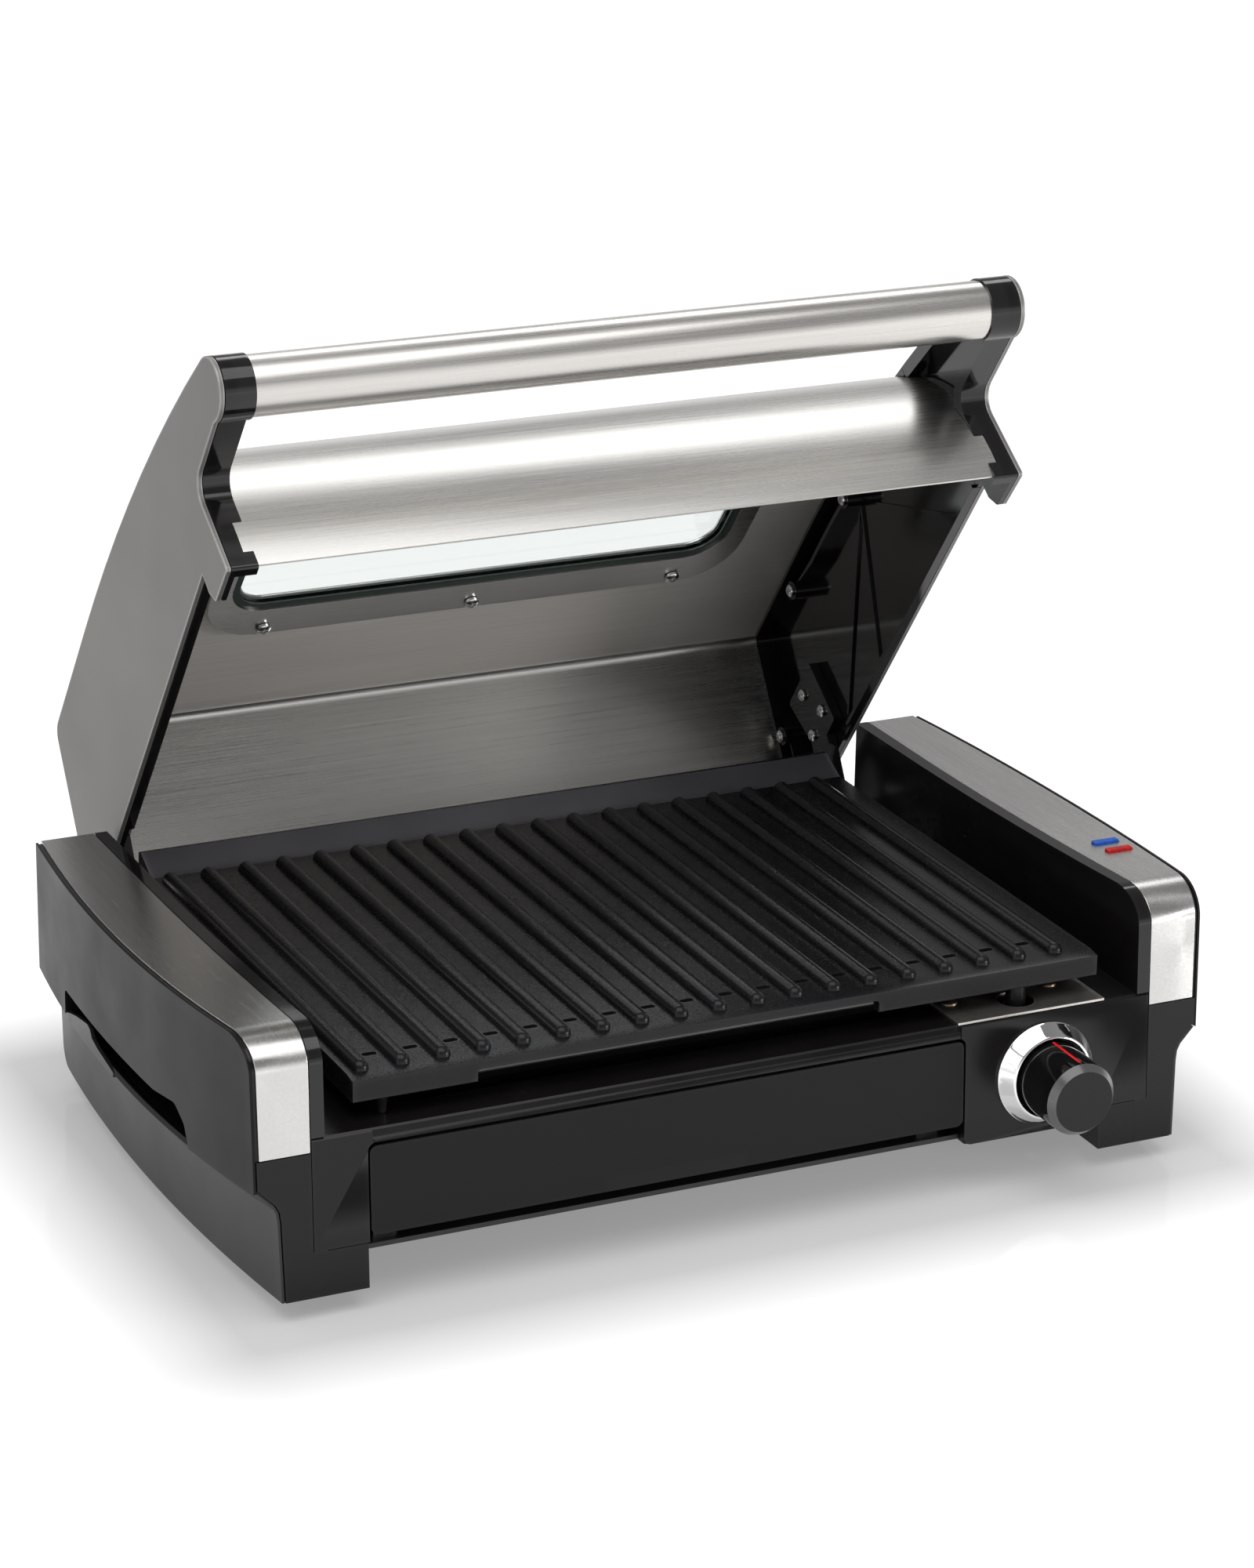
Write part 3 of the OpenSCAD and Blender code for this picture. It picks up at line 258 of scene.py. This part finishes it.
def brushed(name, color, rough, axis, grain=0.10, aniso=0.6, cloud=0.05):
    """Brushed stainless steel with its grain along one axis of the grill."""
    s = Shader(name)
    fine = tuple(ALONG if a == axis else ACROSS for a in "XYZ")
    wide = tuple(v * (BROAD_ALONG if v == ALONG else BROAD_ACROSS) for v in fine)
    lines = s.noise(9, fine, detail=3, rough=0.75)
    bands = s.noise(9, wide, detail=2)
    cloudy = s.noise(5, detail=1)
    mixed = s.math("ADD", s.math("MULTIPLY", lines, 0.72), s.math("MULTIPLY", bands, 0.28))
    tint = s.ramp(mixed, [(0.3, scaled(color, 1 - grain)), (0.7, scaled(color, 1 + grain))])
    polish = s.math("ADD", s.range(mixed, 0.3, 0.7, rough - 0.04, rough + 0.05),
                    s.range(cloudy, 0.3, 0.7, -cloud / 2, cloud / 2))
    s.set(color=tint, metal=1.0, aniso=aniso, rough=polish)
    tangent = s.node("ShaderNodeTangent")
    tangent.direction_type = "RADIAL"
    tangent.axis = axis
    s.link(tangent.outputs["Tangent"], s.bsdf.inputs["Tangent"])
    s.bump(lines, 0.02 * MM, 0.3)
    return s.mat


def moulded(name, color, rough, texture=0.03, scale=1400, gloss_cloud=0.05, spec=0.5):
    """Moulded plastic: skin texture (its depth in mm), slow changes of gloss, rubbed edges."""
    s = Shader(name)
    skin = s.noise(scale, detail=2)
    slow = s.noise(24, detail=3)
    edge = s.edge_mask(0.55, 0.9, 2.0 * MM)
    tint = s.mix(s.range(slow, 0.35, 0.65, 0.0, 1.0), color, scaled(color, 1.22))
    tint = s.mix(s.math("MULTIPLY", edge, 0.25), tint, scaled(color, 2.2, 0.01))
    s.set(color=tint, spec=spec,
          rough=s.range(slow, 0.3, 0.7, rough - gloss_cloud, rough + gloss_cloud))
    s.bump(skin, texture * MM, 0.5)
    return s.mat


def end_skin():
    """Satin grey metallic skin of the lid's ends."""
    s = Shader("end_grey_metallic")
    flake = s.noise(5200, detail=1)
    slow = s.noise(10, detail=3)
    edge = s.edge_mask(0.5, 0.9, 1.2 * MM)
    tint = s.mix(s.range(flake, 0.3, 0.7, 0.0, 1.0), (0.150, 0.146, 0.141), (0.195, 0.190, 0.184))
    tint = s.mix(s.math("MULTIPLY", edge, 0.8), tint, (0.62, 0.61, 0.59))
    s.set(color=tint, metal=0.7, rough=s.range(slow, 0.3, 0.7, 0.42, 0.50))
    s.bump(flake, 0.02 * MM, 0.3)
    return s.mat


def grill_coating(name, dark, light, rough):
    """Dark non-stick coating: satin, lighter and shinier on edges, as rubbed wear and a painted
    highlight on the ridges' tips and edges.
    """
    s = Shader(name)
    grain = s.noise(1500, detail=3)
    slow = s.noise(16, detail=4)
    edge = s.edge_mask(0.45, 0.85, 3.0 * MM)
    tint = s.mix(s.range(slow, 0.3, 0.7, 0.0, 1.0), dark, light)
    # Lighter edges: partly rubbed wear, partly a painted highlight on the ridges' tips and edges
    tint = s.mix(s.math("MULTIPLY", edge, 0.45), tint, scaled(light, 3, 0.01))
    polish = s.math("SUBTRACT", s.range(grain, 0.3, 0.7, rough - 0.05, rough + 0.06),
                    s.math("MULTIPLY", edge, 0.08))
    s.set(color=tint, rough=polish, spec=0.24)
    s.bump(grain, 0.04 * MM, 0.4)
    return s.mat


def chrome():
    """Polished chrome with a faint smear."""
    s = Shader("chrome")
    smear = s.noise(60, detail=3)
    s.set(color=(0.83, 0.83, 0.84), metal=1.0, rough=s.range(smear, 0.3, 0.7, 0.03, 0.09))
    s.bump(s.noise(300, detail=1), 0.01 * MM, 0.3)
    return s.mat


def worn_steel():
    """Satin steel tab, scratched, with brown heat tint round its rivets and its hole."""
    s = Shader("worn_steel")
    scratch = s.noise(14, (3, 140, 140), detail=5, rough=0.8)
    patch = s.noise(75, detail=4, rough=0.7)
    fine = s.noise(420, detail=3)
    heat = 0.0
    for x, behind, reach in HEAT_SPOTS:
        d = s.node("ShaderNodeVectorMath")
        d.operation = "DISTANCE"
        s.link(s.position(), d.inputs[0])
        d.inputs[1].default_value = (x, FRONT_Y + behind, LOCATING_PLATE_Z)
        spot = s.range(d.outputs["Value"], reach * 0.35, reach, 0.9, 0.0)
        heat = s.math("MAXIMUM", spot, heat)
    mottled = s.math("MULTIPLY", heat, s.range(patch, 0.35, 0.62, 0.15, 1.0))
    stain = s.math("MAXIMUM", mottled, s.range(patch, 0.58, 0.74, 0.0, 0.55))
    edge = s.edge_mask(0.5, 0.9, 0.8 * MM)
    tint = s.mix(stain, (0.47, 0.45, 0.42), (0.17, 0.105, 0.06))
    tint = s.mix(s.range(fine, 0.5, 0.8, 0.0, 0.4), tint, (0.30, 0.28, 0.25))
    tint = s.mix(s.math("MULTIPLY", edge, 0.8), tint, (0.85, 0.83, 0.80))
    s.set(color=tint, metal=0.95, rough=s.range(scratch, 0.3, 0.7, 0.27, 0.44))
    s.bump(scratch, 0.03 * MM, 0.35)
    return s.mat


def lens(name, color):
    """Clear coloured plastic over a dark lamp, with a faint painted glow."""
    s = Shader(name)
    ripple = s.noise(700, detail=1)
    deep = s.noise(200, detail=2)
    tint = s.mix(s.range(deep, 0.3, 0.7, 0.0, 1.0), color, scaled(color, 1.35, 0.01))
    # The faint emission in the lens's colour is a painted glow; the lamp behind is dark
    s.set(color=tint, rough=0.10, transmission=0.35, ior=1.49,
          emission=color, emission_strength=0.03)
    s.bump(ripple, 0.08 * MM, 0.5)
    return s.mat


def window_glass():
    """Clear tempered glass with a little haze."""
    s = Shader("window_glass")
    haze = s.noise(30, detail=4)
    s.set(color=(0.86, 0.90, 0.885), transmission=1.0, ior=1.45,
          rough=s.range(haze, 0.4, 0.8, 0.0, 0.03))
    return s.mat


def make_materials():
    return {
        "hood": brushed("hood_brushed_steel", (0.61, 0.60, 0.58), 0.27, "X"),
        # Inner face of the hood: rougher for a duller finish, and lighter than the outer steel as
        # painted light
        "hood_inside": brushed("hood_inside_dull_steel_painted_lighter", (0.80, 0.77, 0.73), 0.58, "X", aniso=0.5),
        "tube": brushed("tube_brushed_steel", (0.66, 0.64, 0.615), 0.27, "X", aniso=0.5),
        "trim": brushed("trim_brushed_steel", (0.62, 0.61, 0.60), 0.25, "Y"),
        "frame": brushed("frame_steel", (0.60, 0.585, 0.56), 0.30, "X", aniso=0.3),
        "rivet": brushed("rivet_heat_tinted", (0.34, 0.26, 0.19), 0.34, "Z",
                         grain=0.2, aniso=0.0, cloud=0.12),
        "pan": brushed("pan_aluminised", (0.50, 0.50, 0.49), 0.42, "X",
                       grain=0.16, aniso=0.1, cloud=0.14),
        "sheath": brushed("element_sheath", (0.16, 0.14, 0.13), 0.45, "Y",
                          grain=0.3, aniso=0.0, cloud=0.15),
        "steel": brushed("plain_steel", (0.66, 0.66, 0.65), 0.22, "Z", grain=0.08, aniso=0.0),
        "brass": brushed("shaft_brass", (0.70, 0.52, 0.26), 0.30, "Y", grain=0.08, aniso=0.3),
        "chrome": chrome(),
        "worn": worn_steel(),
        "end": end_skin(),
        "panel": moulded("panel_plastic", (0.0075, 0.0070, 0.0070), 0.36,
                         texture=0.04, scale=2200, spec=0.12),
        "skirt": moulded("skirt_plastic", (0.0130, 0.0125, 0.0120), 0.36,
                         texture=0.04, scale=2200, spec=0.4),
        "base": moulded("base_plastic", (0.0058, 0.0050, 0.0050), 0.25,
                        texture=0.02, scale=1800, spec=0.3),
        "cover": moulded("cover_plastic", (0.012, 0.012, 0.012), 0.5, texture=0.08, scale=900),
        "gloss": moulded("gloss_black_plastic", (0.0045, 0.0045, 0.0050), 0.10,
                         texture=0.008, scale=600, gloss_cloud=0.02),
        "tray": moulded("tray_plastic", (0.0042, 0.0040, 0.0041), 0.34,
                        scale=2000, spec=0.22),
        "rubber": moulded("foot_rubber", (0.012, 0.012, 0.012), 0.7, texture=0.1, scale=700),
        "gasket": moulded("gasket_rubber", (0.006, 0.016, 0.011), 0.35, texture=0.04, scale=900),
        "ivory": moulded("ivory_phenolic", (0.62, 0.57, 0.47), 0.45, scale=900),
        "knob": moulded("knob_gloss_black", (0.0040, 0.0040, 0.0045), 0.08,
                        texture=0.006, scale=500, gloss_cloud=0.02),
        "cap": moulded("knob_cap_satin", (0.0065, 0.0065, 0.0075), 0.30,
                       scale=1500, spec=0.3),
        # The ring's lighter grey is a painted highlight on the cap's round edge
        "ring": moulded("knob_cap_edge_painted_highlight", (0.060, 0.060, 0.063), 0.20,
                        texture=0.01, scale=900, spec=0.9),
        "mark": moulded("knob_mark_red", (0.62, 0.012, 0.012), 0.35, texture=0.01, scale=900),
        "plate": grill_coating("nonstick_coating", (0.0062, 0.0060, 0.0068),
                               (0.0105, 0.0100, 0.0115), 0.25),
        # Lighter copy of the same coating for the splash wall's forward faces: a painted sheen
        "splash": grill_coating("nonstick_coating_splash_wall_painted_sheen", (0.052, 0.049, 0.058),
                                (0.076, 0.072, 0.083), 0.36),
        "blue": lens("lens_blue", (0.010, 0.10, 0.50)),
        "red": lens("lens_red", (0.55, 0.008, 0.008)),
        "glass": window_glass(),
    }


# ---------------------------------------------------------------- pieces

WELD = 0.002 * MM                       # CAD vertices closer than this are one
FLAT = math.radians(0.4)                # faces that meet within this angle are one
ROUNDED = math.radians(28)              # edges sharper than this are rounded
SHARP = math.radians(32)                # edges sharper than this stay sharp in the shading
BEVEL_SEGMENTS = 2


def apply_modifiers(obj):
    deps = bpy.context.evaluated_depsgraph_get()
    done = bpy.data.meshes.new_from_object(obj.evaluated_get(deps))
    obj.modifiers.clear()
    obj.data = done


def refined(node, width):
    """A copy of a CAD node with its edges rounded by width in mm, which stands for it."""
    src = NODES[node]
    mesh = src.data.copy()
    mesh.name = node + "_look"
    bm = bmesh.new()
    bm.from_mesh(mesh)
    bmesh.ops.remove_doubles(bm, verts=bm.verts, dist=WELD)
    bmesh.ops.dissolve_limit(bm, angle_limit=FLAT, use_dissolve_boundaries=False,
                             verts=bm.verts, edges=bm.edges)
    bm.to_mesh(mesh)
    bm.free()
    obj = bpy.data.objects.new(node + "_look", mesh)
    bpy.context.scene.collection.objects.link(obj)

    bevel = obj.modifiers.new("bevel", "BEVEL")
    bevel.width = width * MM
    bevel.segments = BEVEL_SEGMENTS
    bevel.limit_method = "ANGLE"
    bevel.angle_limit = ROUNDED
    bevel.use_clamp_overlap = True
    bevel.harden_normals = False
    bevel.miter_outer = "MITER_ARC"
    apply_modifiers(obj)

    for p in obj.data.polygons:
        p.use_smooth = True
    obj.data.set_sharp_from_angle(angle=SHARP)
    even = obj.modifiers.new("even", "WEIGHTED_NORMAL")
    even.mode = "FACE_AREA"
    even.weight = 100
    even.keep_sharp = True
    apply_modifiers(obj)

    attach(obj, src["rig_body"])
    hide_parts(node)
    return obj


def paint(obj, mats):
    """Gives an object its materials, of which the first covers all faces at first."""
    obj.data.materials.clear()
    for mat in mats:
        obj.data.materials.append(mat)


# Each zone function gets a face's centre and normal, and returns the number of the face's
# material in ZONES, counted from 1, or 0 for the node's main material.

def knob_zone(c, n):
    r = math.hypot(c.x - KNOB_X, c.z - KNOB_Z)
    out = FRONT_Y - c.y
    above = abs(c.x - KNOB_X) < POINTER_HALF and c.z > KNOB_Z
    if above and r > POINTER_R and POINTER_OUT[0] < out < POINTER_OUT[1]:
        return 3
    if out > CAP_OUT and n.y < -0.9:
        return 1
    if out > RING_OUT and r > RING_R:
        return 2
    return 0


def bead_zone(c, n):
    return int(END_X + BEAD[0] < abs(c.x) < END_X + BEAD[1] and c.z > BEAD_Z)


def inside_zone(c, n):
    """The long inner face of the open hood looks forwards and down; it gets a rougher, duller
    steel that is also lighter as painted light.
    """
    return int(n.y < -0.5 and n.z < -0.3 and abs(n.x) < 0.2)


def splash_zone(c, n):
    """Faces of the splash wall that look forwards, which get a lighter copy of the coating as a
    painted sheen.
    """
    return int(c.y > PLATE_REAR - SPLASH_DEPTH and c.z > SPLASH_Z and n.y < -0.02)


# node: zone function and the materials of its zones
ZONES = {
    "knob": (knob_zone, ("cap", "ring", "mark")),
    "end_housing_left": (bead_zone, ("gloss",)),
    "end_housing_right": (bead_zone, ("gloss",)),
    "hood_sheet": (inside_zone, ("hood_inside",)),
    "grill_plate": (splash_zone, ("splash",)),
}

# node: main material and width of its rounded edges in mm, where 0 leaves the CAD mesh
LOOKS = {
    "base_shell": ("base", 0.5),
    "bottom_cover": ("cover", 0),
    "end_housing_left": ("base", 0.5),
    "end_housing_right": ("base", 0.5),
    "side_panel_left": ("panel", 0.6),
    "side_panel_right": ("panel", 0.6),
    "side_skirt_left": ("skirt", 0.6),
    "side_skirt_right": ("skirt", 0.6),
    "end_trim_left": ("trim", 0.3),
    "end_trim_right": ("trim", 0.3),
    "rubber_feet": ("rubber", 0),
    "reflector_pan": ("pan", 0),
    "heating_element": ("sheath", 0),
    "element_clips": ("steel", 0),
    "thermostat": ("ivory", 0),
    "thermostat_shaft": ("brass", 0),
    "knob_bezel": ("chrome", 0.2),
    "knob": ("knob", 0.4),
    "lamp_lens_blue": ("blue", 0.5),
    "lamp_lens_red": ("red", 0.5),
    "lamp_holder": ("ivory", 0),
    "locating_plate": ("worn", 0.15),
    "plate_rivets": ("rivet", 0.1),
    "tray_runners": ("steel", 0),
    "drip_tray": ("tray", 0.5),
    "grill_plate": ("plate", 0.4),
    "hinge_pin_left": ("steel", 0),
    "hinge_pin_right": ("steel", 0),
    "cord_gland": ("rubber", 0),
    "base_screws": ("steel", 0),
    "hood_sheet": ("hood", 0.2),
    "lid_end_left": ("end", 0.3),
    "lid_end_right": ("end", 0.3),
    "lid_liner_left": ("gloss", 0.3),
    "lid_liner_right": ("gloss", 0.3),
    "handle_bracket_left": ("gloss", 0.8),
    "handle_bracket_right": ("gloss", 0.8),
    "handle_tube": ("tube", 0.3),
    "hinge_block_left": ("gloss", 0.3),
    "hinge_block_right": ("gloss", 0.3),
    "window_glass": ("glass", 0),
    "window_gasket": ("gasket", 0.2),
    "window_frame": ("frame", 0.3),
    "window_screws": ("steel", 0.1),
    "lid_screws": ("steel", 0.1),
}


def dress(mats):
    """Gives every CAD node its look, either on the node itself or on a refined copy."""
    for node, (look, width) in LOOKS.items():
        if not width:
            paint(NODES[node], [mats[look]])
            continue
        obj = refined(node, width)
        zone, extra = ZONES.get(node, (None, ()))
        paint(obj, [mats[look]] + [mats[e] for e in extra])
        if zone:
            for p in obj.data.polygons:
                p.material_index = zone(p.center, p.normal)


# ---------------------------------------------------------------- stage and light

# The floor's own colour, and the one that rays showing the background get with a glow added,
# which is weak by the grill as a painted soft shadow, and white farther off
FLOOR_SIZE = 6.0
FLOOR_COLORS = ((0.90, 0.90, 0.90), (0.92, 0.92, 0.92))
FLOOR_SEEN = (0.46, 0.46, 0.46)
PAINTED_SHADOW_REACH = (4 * MM, 55 * MM)
FLOOR_GLOW_AND_PAINTED_SHADOW = (0.26, 0.72)
# Rectangle under the grill from which the painted shadow's reach is measured: (axis, middle, half
# its length)
PAINTED_SHADOW_FOOTPRINT = (("X", 0.0, 208 * MM), ("Y", -18 * MM, 142 * MM))

# Grey of the world by the upward part of a ray's direction: as light, and mirrored in metal
SKY_LIGHT = [(0.0, 0.55), (0.3, 0.40), (1.0, 0.40)]
SKY_MIRRORED = [(0.0, 1.0), (0.10, 1.0), (0.26, 0.32), (1.0, 0.22)]

# Area lights: name, place, aim, size in metres, power in watts
LIGHTS = (
    ("key_top", (-0.3, -0.5, 1.7), (0, 0, 0.1), (2.2, 1.4), 21),
    ("fill_left", (-1.8, -0.9, 0.9), (0, 0, 0.15), (0.7, 1.3), 3),
    ("rim_back", (0.7, 1.3, 1.7), (0, 0, 0.2), (1.2, 0.6), 7),
    ("front_right", (1.7, -1.5, 0.42), (0, 0, 0.15), (0.5, 0.4), 12),
)


def ray_mask(tree, *kinds):
    """1 for rays of any of the named kinds, else 0."""
    path = tree.nodes.new("ShaderNodeLightPath")
    mask = path.outputs[kinds[0]]
    for kind in kinds[1:]:
        join = tree.nodes.new("ShaderNodeMath")
        join.operation = "MAXIMUM"
        tree.links.new(mask, join.inputs[0])
        tree.links.new(path.outputs[kind], join.inputs[1])
        mask = join.outputs[0]
    return mask


def shader_mix(tree, fac, a, b):
    """Mixes two surface or background shaders."""
    mix = tree.nodes.new("ShaderNodeMixShader")
    tree.links.new(fac, mix.inputs["Fac"])
    tree.links.new(a, mix.inputs[1])
    tree.links.new(b, mix.inputs[2])
    return mix.outputs[0]


def make_floor():
    """Pale floor that keeps the soft shadow, darkened round the grill by a painted shadow, and
    runs out into white.
    """
    mesh = bpy.data.meshes.new("floor")
    bm = bmesh.new()
    corners = ((-1, -1), (1, -1), (1, 1), (-1, 1))
    bm.faces.new([bm.verts.new((x * FLOOR_SIZE, y * FLOOR_SIZE, 0)) for x, y in corners])
    bm.to_mesh(mesh)
    bm.free()
    floor = bpy.data.objects.new("floor", mesh)
    bpy.context.scene.collection.objects.link(floor)

    s = Shader("floor_white")
    seen = ray_mask(s.tree, "Is Camera Ray", "Is Glossy Ray", "Is Transmission Ray")
    own = s.mix(s.noise(3, detail=1), *FLOOR_COLORS)
    s.set(color=s.mix(seen, own, FLOOR_SEEN), rough=0.07, spec=0.5)
    place = s.node("ShaderNodeSeparateXYZ")
    s.link(s.position(), place.inputs[0])
    beyond = []
    for axis, middle, half in PAINTED_SHADOW_FOOTPRINT:
        off = s.math("ABSOLUTE", s.math("SUBTRACT", place.outputs[axis], middle))
        off = s.math("MAXIMUM", s.math("SUBTRACT", off, half), 0.0)
        beyond.append(s.math("POWER", off, 2.0))
    away = s.math("SQRT", s.math("ADD", *beyond))
    # The glow whitens the floor, and its weakness round the grill is a painted soft shadow
    glow_with_painted_shadow = s.node("ShaderNodeEmission", Color=(1, 1, 1, 1))
    s.link(s.range(away, *PAINTED_SHADOW_REACH, *FLOOR_GLOW_AND_PAINTED_SHADOW), glow_with_painted_shadow.inputs["Strength"])
    add = s.node("ShaderNodeAddShader")
    s.link(s.bsdf.outputs[0], add.inputs[0])
    s.link(glow_with_painted_shadow.outputs[0], add.inputs[1])
    surface = shader_mix(s.tree, seen, s.bsdf.outputs[0], add.outputs[0])
    s.link(surface, s.tree.nodes["Material Output"].inputs["Surface"])
    floor.data.materials.append(s.mat)


def make_world():
    """White behind the object, and a grey studio overhead in what metal mirrors."""
    world = bpy.data.worlds.new("studio")
    bpy.context.scene.world = world
    world.use_nodes = True
    t = world.node_tree
    t.nodes.clear()
    coord = t.nodes.new("ShaderNodeTexCoord")
    direction = t.nodes.new("ShaderNodeSeparateXYZ")
    t.links.new(coord.outputs["Generated"], direction.inputs[0])

    def background(stops):
        ramp = t.nodes.new("ShaderNodeValToRGB")
        set_stops(ramp, stops)
        t.links.new(direction.outputs["Z"], ramp.inputs["Fac"])
        back = t.nodes.new("ShaderNodeBackground")
        t.links.new(ramp.outputs["Color"], back.inputs["Color"])
        return back.outputs[0]

    white = t.nodes.new("ShaderNodeBackground")
    white.inputs["Color"].default_value = (1, 1, 1, 1)
    studio = shader_mix(t, ray_mask(t, "Is Glossy Ray"),
                        background(SKY_LIGHT), background(SKY_MIRRORED))
    all_rays = shader_mix(t, ray_mask(t, "Is Camera Ray", "Is Transmission Ray"),
                          studio, white.outputs[0])
    t.links.new(all_rays, t.nodes.new("ShaderNodeOutputWorld").inputs["Surface"])


def make_lights():
    for name, place, aim, size, power in LIGHTS:
        data = bpy.data.lights.new(name, "AREA")
        data.shape = "RECTANGLE"
        data.size, data.size_y = size
        data.energy = power
        obj = bpy.data.objects.new(name, data)
        bpy.context.scene.collection.objects.link(obj)
        obj.location = place
        obj.rotation_euler = (Vector(aim) - Vector(place)).to_track_quat("-Z", "Y").to_euler()


def main():
    bpy.context.scene.view_settings.view_transform = "Standard"
    make_camera()
    make_floor()
    make_world()
    make_lights()
    dress(make_materials())


main()
